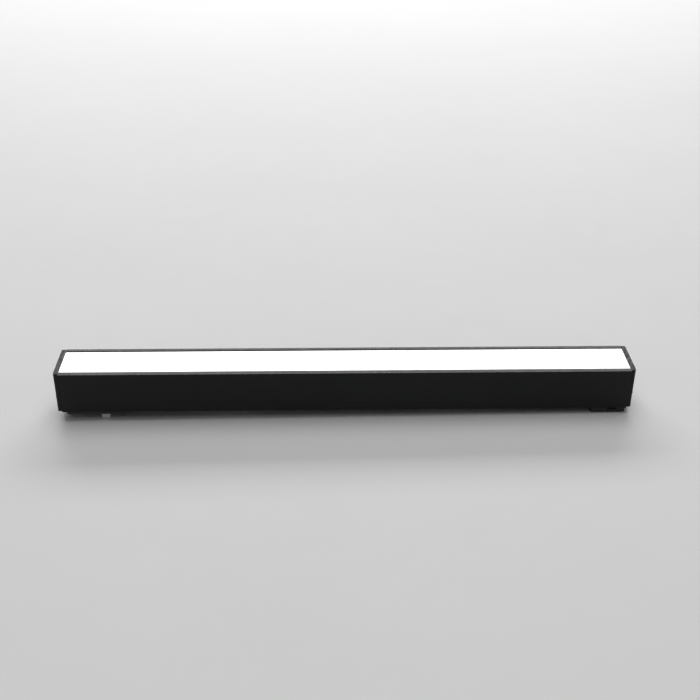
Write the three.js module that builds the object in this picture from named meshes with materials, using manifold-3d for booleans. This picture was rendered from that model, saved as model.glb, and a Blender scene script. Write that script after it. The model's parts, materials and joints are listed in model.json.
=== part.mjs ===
// A linear LED light bar that clips onto a wall or ceiling rail: an extruded aluminium body with an opal
// diffuser, a driver in its lower chamber, two sprung contact pins at one end and two sprung latch tabs at
// the other, and two magnets between them.
//
// Millimetres. +X runs along the bar, from the contact pins to the latch. +Z is the way the light shines.
// The origin is the centre of the footprint, on the plane of the contact pins' tips.

import * as THREE from "three";
import { mergeVertices } from "three/addons/utils/BufferGeometryUtils.js";
import Module from "manifold-3d";

const wasm = await Module();
wasm.setup();

// ---------------------------------------------------------------- driving dimensions

const LENGTH = 300; // over both end caps
const WIDTH = 26;
const BODY_HEIGHT = 23; // the extrusion, from its underside to the lip round the diffuser
const PIN_REACH = 5.7; // contact pins' tips below the underside
const CONTACT_HEAD_DROP = 2; // each plastic head's face below the underside
const LATCH_HEAD_DROP = 3.2; // also the magnets' faces, so it is the depth of the rail
const HEAD_WIDTH = 23.2; // fits between the rail's walls

const GAP = 0.1; // between pieces that touch
const SIDES = 28; // of a small cylinder

// Levels above the origin.
const UNDERSIDE = PIN_REACH;
const TOP = UNDERSIDE + BODY_HEIGHT;
const RAIL_FLOOR = UNDERSIDE - LATCH_HEAD_DROP;
const WEB_BOTTOM = UNDERSIDE + 11.3;
const WEB_TOP = WEB_BOTTOM + 1.6;

// The extrusion.
const HALF_WIDTH = WIDTH / 2;
const WALL = 1.4;
const INNER = HALF_WIDTH - WALL; // inner face of each side wall, from the middle
const RIM_WIDTH = 2.6; // the lip that shows round the diffuser
const RIM_DEPTH = 2;
const FOOT_THICKNESS = 1.2; // the inward feet that carry the back plate
const FOOT_INNER = 10.2;
const EDGE_BREAK = 0.5;
const CAP_THICKNESS = 2.4;
const CAP_CORNER = 1; // radius of the caps' upright edges
const CAP_SETBACK = 0.6; // of the caps' sides behind the body's
const CAP_LIFT = 0.5; // of the caps' lower edge above the underside
const HALF_BODY = LENGTH / 2 - CAP_THICKNESS; // the caps' inner faces, from the middle
const PORT = { y: 9.5, z: WEB_BOTTOM - 2.1, outer: 2.2, bore: 1.35, slot: 0.9 };

// The two heads.
const HEAD_INNER_HALF_WIDTH = INNER - GAP;
const POST_RADIUS = 2.4;
const POST_TOP = WEB_BOTTOM - GAP;
const SCREW_RADIUS = 1.5;
const SCREW_HOLE = SCREW_RADIUS + GAP;
const SCREW_HEAD_RADIUS = 2.9;
const SCREW_HEAD_HEIGHT = 1.4;
const PIN = { x: -125.8, y: 8.3, half: 2.3, corner: 0.4, shoulder: 2.65, spigot: 1.3, sleeve: 3.4 };
const SPRING_WIRE = 0.15; // radius
const CONTACT_HEAD = { x0: -146, x1: -116.3, posts: [[-142.5, 0], [-119.8, 0]] };
const LATCH_HEAD = { x0: 129.2, x1: 147.4, posts: [[133.6, -4.5], [133.6, 4.5]] };
const TAB = { x: 140.3, width: 4.2, height: 1.2, reach: 0.9, bevel: 0.5 };

// The light engine.
const PAD_THICKNESS = 0.3;
const BOARD_BOTTOM = WEB_TOP + PAD_THICKNESS + 2 * GAP;
const BOARD_TOP = BOARD_BOTTOM + 1.2;
const BOARD_HALF_LENGTH = 141;
const BOARD_HALF_WIDTH = 8;
const BOARD_SCREW_X = [-100, 0, 100];
const LED = { length: 3.5, width: 2.8, height: 0.75, pitch: 20, row: 5 };
const GROMMET = { x: 138.2, bore: 1.75, neck: 2.5, flange: 3.4, flangeHeight: 0.8 };
const NOTCH = { x: 133.8, halfWidth: 3.8 }; // the boards' opening round the grommet

// The driver.
const PLATE_TOP = UNDERSIDE + 2.5;
const TRAY = { x0: -106, x1: 18, halfWidth: 9.4, wall: 0.6, top: 12.4 };
const DRIVER_BOARD = { x0: -104, x1: 16, halfWidth: 8.4, z0: 10.3, z1: 11.9 };
const WIRE_RADIUS = 0.65;

// The magnets.
const MAGNET_X = 60;
const CUP = { length: 36, width: 12, wall: 0.8 };
const MAGNET = { length: 34, width: 10 };

// ---------------------------------------------------------------- materials

const finish = (color, roughness, metalness = 0) =>
  new THREE.MeshStandardMaterial({ color, roughness, metalness });

const blackPaint = finish(0x17191a, 0.5);
const opal = finish(0xfbfbfa, 0.35);
const blackPlastic = finish(0x141516, 0.55);
const blackScrew = finish(0x1d1d1e, 0.35, 0.8);
const nickel = finish(0xc8c6bf, 0.25, 1);
const zincSteel = finish(0xb4b6b8, 0.35, 1);
const springSteel = finish(0x9c9da0, 0.3, 1);
const brass = finish(0xc29a4b, 0.3, 1);
const whiteMask = finish(0xf2f2ee, 0.4);
const whitePlastic = finish(0xeeeeea, 0.45);
const reflectorWhite = finish(0xf7f7f5, 0.6);
const greyPad = finish(0x8b9097, 0.85);
const greenBoard = finish(0x1c5a36, 0.4);
const ferrite = finish(0x2b2c2e, 0.7);
const canSleeve = finish(0x20242c, 0.35);
const chipBlack = finish(0x1b1b1c, 0.6);
const ceramic = finish(0xd8d2c4, 0.5);
const trayPlastic = finish(0xd9dadb, 0.5);
const rubber = finish(0x222222, 0.8);
const redInsulation = finish(0xa81f1a, 0.5);
const blackInsulation = finish(0x161616, 0.5);

// ---------------------------------------------------------------- solids

function toSolid(geometry) {
  const bare = geometry.index ? geometry.toNonIndexed() : geometry.clone();
  bare.deleteAttribute("normal");
  bare.deleteAttribute("uv");
  const merged = mergeVertices(bare, 1e-4);
  return new wasm.Manifold(
    new wasm.Mesh({
      numProp: 3,
      vertProperties: merged.attributes.position.array,
      triVerts: new Uint32Array(merged.index.array),
    }),
  );
}

function toGeometry(solid) {
  const mesh = solid.getMesh();
  const geometry = new THREE.BufferGeometry();
  geometry.setAttribute("position", new THREE.BufferAttribute(mesh.vertProperties, 3));
  geometry.setIndex(new THREE.BufferAttribute(mesh.triVerts, 1));
  geometry.computeVertexNormals();
  return geometry;
}

const join = (...parts) => toGeometry(parts.map(toSolid).reduce((a, b) => a.add(b)));
const cut = (base, ...tools) =>
  toGeometry(tools.map(toSolid).reduce((a, b) => a.subtract(b), toSolid(base)));
const common = (a, b) => toGeometry(toSolid(a).intersect(toSolid(b)));

// A box from its lowest to its highest value along each axis.
function block([x0, x1], [y0, y1], [z0, z1]) {
  const box = new THREE.BoxGeometry(x1 - x0, y1 - y0, z1 - z0);
  return box.translate((x0 + x1) / 2, (y0 + y1) / 2, (z0 + z1) / 2);
}

// A box that is centred across the bar.
const across = (x, halfWidth, z) => block(x, [-halfWidth, halfWidth], z);

// An upright cylinder.
const post = (x, y, radius, [z0, z1], sides = SIDES) =>
  new THREE.CylinderGeometry(radius, radius, z1 - z0, sides)
    .rotateX(Math.PI / 2)
    .translate(x, y, (z0 + z1) / 2);

// An upright cone frustum, from radius r0 at z0 to r1 at z1.
const cone = (x, y, [r0, r1], [z0, z1], sides = SIDES) =>
  new THREE.CylinderGeometry(r1, r0, z1 - z0, sides)
    .rotateX(Math.PI / 2)
    .translate(x, y, (z0 + z1) / 2);

// A profile of [radius, height] points turned about +Z.
const turned = (profile, sides = SIDES) =>
  new THREE.LatheGeometry(profile.map(([r, z]) => new THREE.Vector2(r, z)), sides).rotateX(
    Math.PI / 2,
  );

const outline = (points) => new THREE.Shape(points.map(([a, b]) => new THREE.Vector2(a, b)));

// A cross-section of [y, z] points drawn out along X.
function alongX(points, [x0, x1]) {
  const geometry = new THREE.ExtrudeGeometry(outline(points), {
    depth: x1 - x0,
    bevelEnabled: false,
  });
  const basis = new THREE.Matrix4().makeBasis(
    new THREE.Vector3(0, 1, 0),
    new THREE.Vector3(0, 0, 1),
    new THREE.Vector3(1, 0, 0),
  );
  return geometry.applyMatrix4(basis).translate(x0, 0, 0);
}

// A closed outline from its half with y >= 0, listed from the middle to the middle.
const mirrored = (half) => [...half, ...half.map(([y, z]) => [-y, z]).reverse()];

// A plan shape drawn up from z0 to z1.
const raised = (shape, [z0, z1]) =>
  new THREE.ExtrudeGeometry(shape, {
    depth: z1 - z0,
    bevelEnabled: false,
    curveSegments: 8,
  }).translate(0, 0, z0);

// A plan rectangle with rounded corners.
function roundedPlan([x0, x1], halfWidth, radius) {
  const shape = new THREE.Shape();
  shape.moveTo(x0 + radius, -halfWidth);
  shape.lineTo(x1 - radius, -halfWidth);
  shape.absarc(x1 - radius, -halfWidth + radius, radius, -Math.PI / 2, 0);
  shape.absarc(x1 - radius, halfWidth - radius, radius, 0, Math.PI / 2);
  shape.absarc(x0 + radius, halfWidth - radius, radius, Math.PI / 2, Math.PI);
  shape.absarc(x0 + radius, -halfWidth + radius, radius, Math.PI, 1.5 * Math.PI);
  return shape;
}

// An upright post of square section with rounded edges.
const squarePost = (x, y, half, z) =>
  raised(roundedPlan([-half, half], half, PIN.corner), z).translate(x, y, 0);

// A round bar along a curve.
function swept(curve, radius, steps, sides = 8) {
  const points = Array.from({ length: sides }, (_, i) => {
    const turn = (2 * Math.PI * i) / sides;
    return new THREE.Vector2(radius * Math.cos(turn), radius * Math.sin(turn));
  });
  return new THREE.ExtrudeGeometry(new THREE.Shape(points), { extrudePath: curve, steps });
}

const wire = (points) =>
  swept(new THREE.CatmullRomCurve3(points.map((p) => new THREE.Vector3(...p))), WIRE_RADIUS, 48);

class Helix extends THREE.Curve {
  constructor(radius, length, turns) {
    super();
    Object.assign(this, { radius, length, turns });
  }
  getPoint(t, target = new THREE.Vector3()) {
    const angle = 2 * Math.PI * this.turns * t;
    return target.set(
      this.radius * Math.cos(angle),
      this.radius * Math.sin(angle),
      this.length * (t - 0.5),
    );
  }
}

// A compression spring about Z, centred on the origin, of that overall length.
function coilSpring(radius, wireRadius, length, turns) {
  const helix = new Helix(radius, length - 2 * wireRadius, turns);
  return swept(helix, wireRadius, Math.round(turns * 12), 6);
}

// ---------------------------------------------------------------- the assembly

const bar = new THREE.Group();

function add(parent, name, geometry, material) {
  const mesh = new THREE.Mesh(geometry, material);
  mesh.name = name;
  parent.add(mesh);
  return mesh;
}

function subAssembly() {
  const group = new THREE.Group();
  bar.add(group);
  return group;
}

// ---------------------------------------------------------------- fasteners

// A countersunk screw with a cross recess. Its head's face is at the origin and its shank runs up +Z.
function countersunkScrew(length, shank = SCREW_RADIUS) {
  const head = SCREW_HEAD_RADIUS - 2 * GAP;
  const body = turned([
    [0, 0],
    [head, 0],
    [head, 0.1],
    [shank, SCREW_HEAD_HEIGHT],
    [shank, length - 0.6],
    [shank - 0.5, length],
    [0, length],
  ]);
  return cut(body, ...crossRecess(-0.5));
}

// A pan-head screw with a cross recess. The underside of its head is at the origin, its shank runs down -Z.
function panScrew(length) {
  const body = turned([
    [0, -length],
    [SCREW_RADIUS - 0.5, -length],
    [SCREW_RADIUS, -length + 0.6],
    [SCREW_RADIUS, 0],
    [2.7, 0],
    [2.7, 1],
    [2.1, 1.6],
    [0, 1.9],
  ]);
  return cut(body, ...crossRecess(0.9));
}

// Two crossed slots, 1.5 mm deep from z0.
const crossRecess = (z0) => [
  block([-1.4, 1.4], [-0.3, 0.3], [z0, z0 + 1.5]),
  block([-0.3, 0.3], [-1.4, 1.4], [z0, z0 + 1.5]),
];

// The hole for a countersunk screw that enters a face at z0 and goes up.
const countersink = (x, y, z0, z1) => [
  post(x, y, SCREW_HOLE, [z0 - 1, z1]),
  cone(x, y, [SCREW_HEAD_RADIUS + 1.4, SCREW_HOLE], [z0 - 1.4, z0 + SCREW_HEAD_HEIGHT]),
];

// ---------------------------------------------------------------- body

function housing() {
  const half = [
    [0, WEB_TOP],
    [INNER, WEB_TOP],
    [INNER, TOP - RIM_DEPTH],
    [HALF_WIDTH - RIM_WIDTH, TOP - RIM_DEPTH],
    [HALF_WIDTH - RIM_WIDTH, TOP],
    [HALF_WIDTH - EDGE_BREAK, TOP],
    [HALF_WIDTH, TOP - EDGE_BREAK],
    [HALF_WIDTH, UNDERSIDE + EDGE_BREAK],
    [HALF_WIDTH - EDGE_BREAK, UNDERSIDE],
    [FOOT_INNER, UNDERSIDE],
    [FOOT_INNER, UNDERSIDE + FOOT_THICKNESS],
    [INNER, UNDERSIDE + FOOT_THICKNESS],
    [INNER, WEB_BOTTOM],
    [0, WEB_BOTTOM],
  ];
  const span = [-HALF_BODY + GAP / 2, HALF_BODY - GAP / 2];
  const profile = mirrored(half).filter(([y], i) => !(y === 0 && i >= half.length));
  const extrusion = alongX(profile, span);
  const bosses = [-1, 1].map((side) => screwPortBoss(side, span));
  const ports = [-1, 1].flatMap((side) => screwPortBore(side, span));
  const headPosts = [...CONTACT_HEAD.posts, ...LATCH_HEAD.posts];
  const webSpan = [WEB_BOTTOM - 1, WEB_TOP + 1];
  return cut(
    join(extrusion, ...bosses),
    ...ports,
    across([-HALF_BODY - 1, CONTACT_HEAD.x1 + 0.4], INNER, [UNDERSIDE - 1, UNDERSIDE + 2]),
    across([LATCH_HEAD.x0 - 0.3, HALF_BODY + 1], INNER, [UNDERSIDE - 1, UNDERSIDE + 2]),
    ...headPosts.map(([x, y]) => post(x, y, SCREW_HOLE, webSpan)),
    ...BOARD_SCREW_X.map((x) => post(x, 0, SCREW_HOLE, webSpan)),
    post(GROMMET.x, 0, GROMMET.neck + GAP, webSpan),
  );
}

const lyingRod = (y, z, radius, [x0, x1]) =>
  new THREE.CylinderGeometry(radius, radius, x1 - x0, SIDES)
    .rotateZ(Math.PI / 2)
    .translate((x0 + x1) / 2, y, z);

// Screw ports run the whole length under the web, one against each wall, and are open below.
const screwPortBoss = (side, span) => lyingRod(side * PORT.y, PORT.z, PORT.outer, span);

function screwPortBore(side, [x0, x1]) {
  const y = side * PORT.y;
  return [
    lyingRod(y, PORT.z, PORT.bore, [x0 - 1, x1 + 1]),
    block([x0 - 1, x1 + 1], [y - PORT.slot / 2, y + PORT.slot / 2], [PORT.z - 4, PORT.z]),
  ];
}

// The opal cover: a plate with two legs whose barbs snap under the rim.
function diffuser() {
  const edge = HALF_WIDTH - RIM_WIDTH - 0.15;
  const face = TOP - 0.3;
  const half = [
    [0, face],
    [edge - 0.3, face],
    [edge, face - 0.3],
    [edge, face - 1.3],
    [edge - 0.1, TOP - RIM_DEPTH - 0.15],
    [INNER - 0.15, TOP - RIM_DEPTH - 0.15],
    [INNER - 0.15, TOP - RIM_DEPTH - 0.7],
    [10.6, face - 3.35],
    [9.1, face - 3.35],
    [9.1, face - 1.4],
    [0, face - 1.4],
  ];
  const profile = mirrored(half).filter(([y], i) => !(y === 0 && i >= half.length));
  return alongX(profile, [-HALF_BODY + 0.15, HALF_BODY - 0.15]);
}

// One end cap, drawn at the +X end: a plate with rounded upright edges and two locating blocks.
function endCap() {
  const outer = LENGTH / 2;
  const side = HALF_WIDTH - CAP_SETBACK;
  const centre = { x: outer - CAP_CORNER, y: side - CAP_CORNER };
  const plan = new THREE.Shape();
  plan.moveTo(HALF_BODY, -side);
  plan.lineTo(centre.x, -side);
  plan.absarc(centre.x, -centre.y, CAP_CORNER, -Math.PI / 2, 0);
  plan.absarc(centre.x, centre.y, CAP_CORNER, 0, Math.PI / 2);
  plan.lineTo(HALF_BODY, side);
  const inward = [HALF_BODY - 2.2, HALF_BODY + 0.5];
  const plate = raised(plan, [UNDERSIDE + CAP_LIFT, TOP]);
  const holes = [-PORT.y, PORT.y].flatMap((y) =>
    countersink(0, 0, 0, 4).map((tool) => tool.rotateY(-Math.PI / 2).translate(outer, y, PORT.z)),
  );
  return cut(
    join(plate, across(inward, 9, [WEB_TOP + 2.4, TOP - 4.1]), across(inward, 6.5, [12.9, 16.6])),
    ...holes,
  );
}

function addBody() {
  const group = subAssembly();
  add(group, "housing", housing(), blackPaint);
  add(group, "diffuser", diffuser(), opal);
  for (const [end, turn] of [["left", Math.PI], ["right", 0]]) {
    const side = new THREE.Group();
    side.rotation.z = turn;
    group.add(side);
    add(side, `end_cap_${end}`, endCap(), blackPaint);
    for (const [name, y] of [["front", -PORT.y], ["rear", PORT.y]]) {
      const screw = add(side, `cap_screw_${end}_${name}`, countersunkScrew(10, 1.25), blackScrew);
      screw.position.set(LENGTH / 2 - GAP, turn ? -y : y, PORT.z);
      screw.rotation.y = -Math.PI / 2;
    }
  }
}

// The back plate slides in over the feet and closes the lower chamber between the heads.
function backPlate() {
  const step = UNDERSIDE + FOOT_THICKNESS + GAP;
  const inner = INNER - 0.2;
  const span = [CONTACT_HEAD.x1 + 0.6, LATCH_HEAD.x0 - 0.4];
  return cut(
    join(
      across(span, FOOT_INNER - 0.2, [UNDERSIDE, step + 0.2]),
      across(span, inner, [step, PLATE_TOP]),
    ),
    ...[-MAGNET_X, MAGNET_X].map((x) => post(x, 0, SCREW_HOLE, [0, PLATE_TOP + 1])),
  );
}

// ---------------------------------------------------------------- light engine

const boardNotch = (z) => across([NOTCH.x, BOARD_HALF_LENGTH + 1], NOTCH.halfWidth, z);

function thermalPad() {
  const z = [WEB_TOP + GAP, WEB_TOP + GAP + PAD_THICKNESS];
  const loose = [z[0] - 1, z[1] + 1];
  return cut(
    across([-BOARD_HALF_LENGTH + 0.5, BOARD_HALF_LENGTH - 0.5], BOARD_HALF_WIDTH - 0.2, z),
    boardNotch(loose),
    ...BOARD_SCREW_X.map((x) => post(x, 0, SCREW_HOLE + 0.4, loose)),
  );
}

// Two staggered rows of light-emitting diodes, at these places on the board.
const ledPlaces = [
  ...Array.from({ length: 14 }, (_, i) => [(i - 6.5) * LED.pitch, -LED.row]),
  ...Array.from({ length: 13 }, (_, i) => [(i - 6) * LED.pitch, LED.row]),
];

// The board, with its diodes soldered down.
function ledBoard() {
  const loose = [BOARD_BOTTOM - 1, BOARD_TOP + 1];
  const board = cut(
    across([-BOARD_HALF_LENGTH, BOARD_HALF_LENGTH], BOARD_HALF_WIDTH, [BOARD_BOTTOM, BOARD_TOP]),
    boardNotch(loose),
    ...BOARD_SCREW_X.map((x) => post(x, 0, SCREW_HOLE, loose)),
  );
  const diodes = ledPlaces.map(([x, y]) =>
    block(
      [x - LED.length / 2, x + LED.length / 2],
      [y - LED.width / 2, y + LED.width / 2],
      [BOARD_TOP - 0.2, BOARD_TOP + LED.height],
    ),
  );
  return join(board, ...diodes);
}

// A two-way push-in terminal that stands on z0, with its wire holes on the face at xFace.
function wireTerminal([x0, x1], halfWidth, [z0, z1], xFace, holeY, holeZ) {
  const depth = 4;
  const hole = xFace === x1 ? [x1 - depth, x1 + 1] : [x0 - 1, x0 + depth];
  const middle = (x0 + x1) / 2;
  const releases = [-1, 1].map((side) =>
    block([middle - 1, middle + 1], [side * holeY - 0.5, side * holeY + 0.5], [z1 - 0.6, z1 + 1]),
  );
  return cut(
    across([x0, x1], halfWidth, [z0, z1]),
    ...[-1, 1].map((side) => lyingRod(side * holeY, holeZ, WIRE_RADIUS + 0.25, hole)),
    ...releases,
  );
}

const LED_TERMINAL = { x: [119.6, 128], z: BOARD_TOP + 1.9, y: 1.2 };

// A white strip that leans from the board's edge to the wall and sends stray light up.
function reflector(side) {
  const section = [
    [8.3, WEB_TOP + GAP],
    [8.75, WEB_TOP + GAP],
    [INNER - 0.15, TOP - 4.3],
    [INNER - 0.6, TOP - 4.3],
  ];
  const points = section.map(([y, z]) => [side * y, z]);
  return alongX(side > 0 ? points : points.reverse(), [-144.5, 144.5]);
}

function grommet() {
  const { bore, neck, flange, flangeHeight } = GROMMET;
  return turned([
    [bore, WEB_BOTTOM - GAP - flangeHeight],
    [flange, WEB_BOTTOM - GAP - flangeHeight],
    [flange, WEB_BOTTOM - GAP],
    [neck, WEB_BOTTOM - GAP],
    [neck, WEB_TOP + GAP],
    [flange, WEB_TOP + GAP],
    [flange, WEB_TOP + GAP + flangeHeight],
    [bore, WEB_TOP + GAP + flangeHeight],
    [bore, WEB_BOTTOM - GAP - flangeHeight],
  ]);
}

function addLightEngine() {
  const group = subAssembly();
  const { x, y, z } = LED_TERMINAL;
  add(group, "thermal_pad", thermalPad(), greyPad);
  add(group, "led_board", ledBoard(), whiteMask);
  add(
    group,
    "led_terminal",
    wireTerminal(x, 2.5, [BOARD_TOP + GAP, BOARD_TOP + 3.7], x[1], y, z),
    whitePlastic,
  );
  BOARD_SCREW_X.forEach((screwX, i) => {
    const screw = add(group, `led_board_screw_${i + 1}`, panScrew(3.6), zincSteel);
    screw.position.set(screwX, 0, BOARD_TOP + GAP);
  });
  add(group, "reflector_front", reflector(-1), reflectorWhite);
  add(group, "reflector_rear", reflector(1), reflectorWhite);
  add(group, "web_grommet", grommet(), rubber).position.x = GROMMET.x;
}

// ---------------------------------------------------------------- driver

// The tray insulates the driver from the metal and holds its board up on two ledges.
function driverTray() {
  const { x0, x1, halfWidth, wall, top } = TRAY;
  const bottom = PLATE_TOP + GAP;
  const ledge = 1.3;
  const inside = halfWidth - wall;
  return cut(
    across([x0, x1], halfWidth, [bottom, top]),
    across([x0 + wall, x1 - wall], inside - ledge, [bottom + wall, top + 1]),
    across([x0 + wall, x1 - wall], inside, [DRIVER_BOARD.z0 - GAP, top + 1]),
  );
}

// A surface-mounted part on the driver board: its centre, and its size along X, Y and Z.
function boardPart([x, y], [length, width, height]) {
  const z0 = DRIVER_BOARD.z1 + GAP;
  return block(
    [x - length / 2, x + length / 2],
    [y - width / 2, y + width / 2],
    [z0, z0 + height],
  );
}

// A shielded inductor: a square block with its corners cut, and a round core on top.
function inductor([x, y]) {
  const z0 = DRIVER_BOARD.z1 + GAP;
  const shell = post(x, y, 6.3, [z0, z0 + 3.8], 8).translate(-x, -y, 0);
  shell.rotateZ(Math.PI / 8).translate(x, y, 0);
  return join(shell, post(x, y, 3.6, [z0 + 3, z0 + 4.4]));
}

// A can capacitor that lies along the board, with the crimped groove near its open end.
function canCapacitor([x, y], radius, length) {
  const half = length / 2;
  const can = turned([
    [0, -half],
    [radius - 0.3, -half],
    [radius, -half + 0.3],
    [radius, half - 2.2],
    [radius - 0.35, half - 1.8],
    [radius, half - 1.4],
    [radius, half - 0.3],
    [radius - 0.3, half],
    [0, half],
  ]);
  return can.rotateY(Math.PI / 2).translate(x, y, DRIVER_BOARD.z1 + GAP + radius);
}

const SUPPLY_TERMINAL = { x: [-103, -95], y: 2.4, z: 14.2 };
const OUTPUT_TERMINAL = { x: [7, 15], y: 2.4, z: 14.2 };

function addDriver() {
  const group = subAssembly();
  const { x0, x1, halfWidth, z0, z1 } = DRIVER_BOARD;
  const terminalZ = [z1 + GAP, 16.4];
  const input = SUPPLY_TERMINAL;
  const output = OUTPUT_TERMINAL;
  add(group, "driver_tray", driverTray(), trayPlastic);
  add(group, "driver_board", across([x0, x1], halfWidth, [z0, z1]), greenBoard);
  add(
    group,
    "driver_input_terminal",
    wireTerminal(input.x, 4.5, terminalZ, input.x[0], input.y, input.z),
    whitePlastic,
  );
  add(
    group,
    "driver_output_terminal",
    wireTerminal(output.x, 4.5, terminalZ, output.x[1], output.y, output.z),
    whitePlastic,
  );
  add(group, "driver_fuse", boardPart([-88, 4.2], [6.1, 2.7, 2.4]), ceramic);
  add(group, "driver_input_capacitor", canCapacitor([-77, -3.8], 2.4, 13), canSleeve);
  add(group, "driver_transistor", boardPart([-62, 3], [6.6, 6.1, 2.3]), chipBlack);
  add(group, "driver_chip", boardPart([-50, -1.5], [4.9, 3.9, 1.6]), chipBlack);
  add(group, "driver_diode", boardPart([-38, 3], [6.9, 5.9, 2.3]), chipBlack);
  add(group, "driver_inductor", inductor([-22, 0]), ferrite);
  add(group, "driver_shunt", boardPart([-8, -5], [6.3, 3.2, 0.7]), chipBlack);
  add(group, "driver_output_capacitor", boardPart([-6, 3.2], [7.3, 4.3, 2.9]), ceramic);
}

// The wires follow the routes that they are dressed along inside the body.
function addWires() {
  const group = subAssembly();
  const tabEnd = CONTACT_HEAD.x1 + 3.6;
  for (const [name, side, material] of [
    ["positive", -1, redInsulation],
    ["negative", 1, blackInsulation],
  ]) {
    const supply = [
      [tabEnd, side * PIN.y, 11.9],
      [tabEnd + 2.4, side * (PIN.y - 0.4), 12.2],
      [tabEnd + 4.8, side * 5.6, 13.4],
      [tabEnd + 7, side * 3, 14.1],
      [SUPPLY_TERMINAL.x[0] - 0.8, side * SUPPLY_TERMINAL.y, SUPPLY_TERMINAL.z],
      [SUPPLY_TERMINAL.x[0] + 3.6, side * SUPPLY_TERMINAL.y, SUPPLY_TERMINAL.z],
    ];
    const feed = [
      [OUTPUT_TERMINAL.x[1] - 3.6, side * OUTPUT_TERMINAL.y, OUTPUT_TERMINAL.z],
      [OUTPUT_TERMINAL.x[1] + 2, side * OUTPUT_TERMINAL.y, OUTPUT_TERMINAL.z],
      [26, side * 1.4, 13.6],
      [50, side * 0.9, 13.2],
      [80, side * 0.8, 13.5],
      [108, side * 0.8, 13.2],
      [126, side * 0.8, 13],
      [GROMMET.x - 4, side * 0.8, 13.4],
      [GROMMET.x - 0.9, side * 0.8, 15.2],
      [GROMMET.x, side * 0.8, 17.8],
      [GROMMET.x - 0.1, side * 0.8, 19.8],
      [GROMMET.x - 1.3, side * 0.95, 21.6],
      [GROMMET.x - 4, side * 1.15, 22.25],
      [LED_TERMINAL.x[1] + 1.4, side * LED_TERMINAL.y, LED_TERMINAL.z],
      [LED_TERMINAL.x[1] - 3.6, side * LED_TERMINAL.y, LED_TERMINAL.z],
    ];
    add(group, `wire_supply_${name}`, wire(supply), material);
    add(group, `wire_led_${name}`, wire(feed), material);
  }
}

// ---------------------------------------------------------------- contact head

const CHAMBER_FLOOR = UNDERSIDE + 0.2;
const SLEEVE_TOP = UNDERSIDE + 5.2;
const TERMINAL_Z = [SLEEVE_TOP + 0.05, SLEEVE_TOP + 0.4];
const COVER_Z = [SLEEVE_TOP + 0.5, SLEEVE_TOP + 1.5];

// The part of each head that hangs below the body, and the part that fills the lower chamber.
function headBlock({ x0, x1 }, face, top) {
  return join(
    raised(roundedPlan([x0, x1], HEAD_WIDTH / 2, 1), [face, UNDERSIDE - 0.05]),
    across([x0 + 0.1, x1 - 0.1], HEAD_INNER_HALF_WIDTH, [UNDERSIDE - 0.5, top]),
  );
}

const headPosts = ({ posts }, z0) =>
  posts.map(([x, y]) => post(x, y, POST_RADIUS, [z0, POST_TOP]));

const headCountersinks = ({ posts }, face) =>
  posts.flatMap(([x, y]) => countersink(x, y, face, POST_TOP + 1));

function contactHead() {
  const face = UNDERSIDE - CONTACT_HEAD_DROP;
  const { x0, x1 } = CONTACT_HEAD;
  const wallTop = COVER_Z[0] - GAP / 2;
  const hollow = across([x0 + 1.5, x1 - 1.5], HEAD_INNER_HALF_WIDTH - 0.9, [CHAMBER_FLOOR, 20]);
  const envelope = across([x0, x1], HEAD_INNER_HALF_WIDTH, [0, 20]);
  const pinY = [-PIN.y, PIN.y];
  const sleeves = pinY.map((y) =>
    common(squarePost(PIN.x, y, PIN.sleeve, [CHAMBER_FLOOR - 0.5, SLEEVE_TOP]), envelope),
  );
  return cut(
    join(
      cut(headBlock(CONTACT_HEAD, face, wallTop), hollow),
      ...sleeves,
      ...headPosts(CONTACT_HEAD, CHAMBER_FLOOR - 0.5),
    ),
    ...headCountersinks(CONTACT_HEAD, face),
    ...pinY.map((y) => squarePost(PIN.x, y, PIN.half + GAP, [0, 20])),
    ...pinY.map((y) => squarePost(PIN.x, y, PIN.shoulder + GAP, [CHAMBER_FLOOR, 20])),
    ...pinY.map((y) => block([x1 - 3, x1 + 1], [y - 1.6, y + 1.6], [SLEEVE_TOP - GAP, 20])),
  );
}

function headCover({ x0, x1, posts }, [z0, z1]) {
  const plate = across([x0 + 0.6, x1 - 0.6], HEAD_INNER_HALF_WIDTH - 0.2, [z0, z1]);
  return cut(plate, ...posts.map(([x, y]) => post(x, y, POST_RADIUS + 0.2, [z0 - 1, z1 + 1])));
}

// A square plunger with a flat tip, a shoulder that stops it on the chamber's floor, and a spigot for its
// spring.
const contactPin = () =>
  join(
    squarePost(0, 0, PIN.half, [0, CHAMBER_FLOOR + 0.5]),
    squarePost(0, 0, PIN.shoulder, [CHAMBER_FLOOR + 0.05, CHAMBER_FLOOR + 0.9]),
    post(0, 0, PIN.spigot, [CHAMBER_FLOOR + 0.5, CHAMBER_FLOOR + 2]),
  );

// The brass plate over each spring, with a tab that its wire is soldered to.
function contactTerminal(y) {
  return join(
    block([PIN.x - 2.2, PIN.x + 2.2], [y - 2.2, y + 2.2], TERMINAL_Z),
    block([PIN.x, CONTACT_HEAD.x1 + 5], [y - 1.3, y + 1.3], TERMINAL_Z),
  );
}

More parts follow.
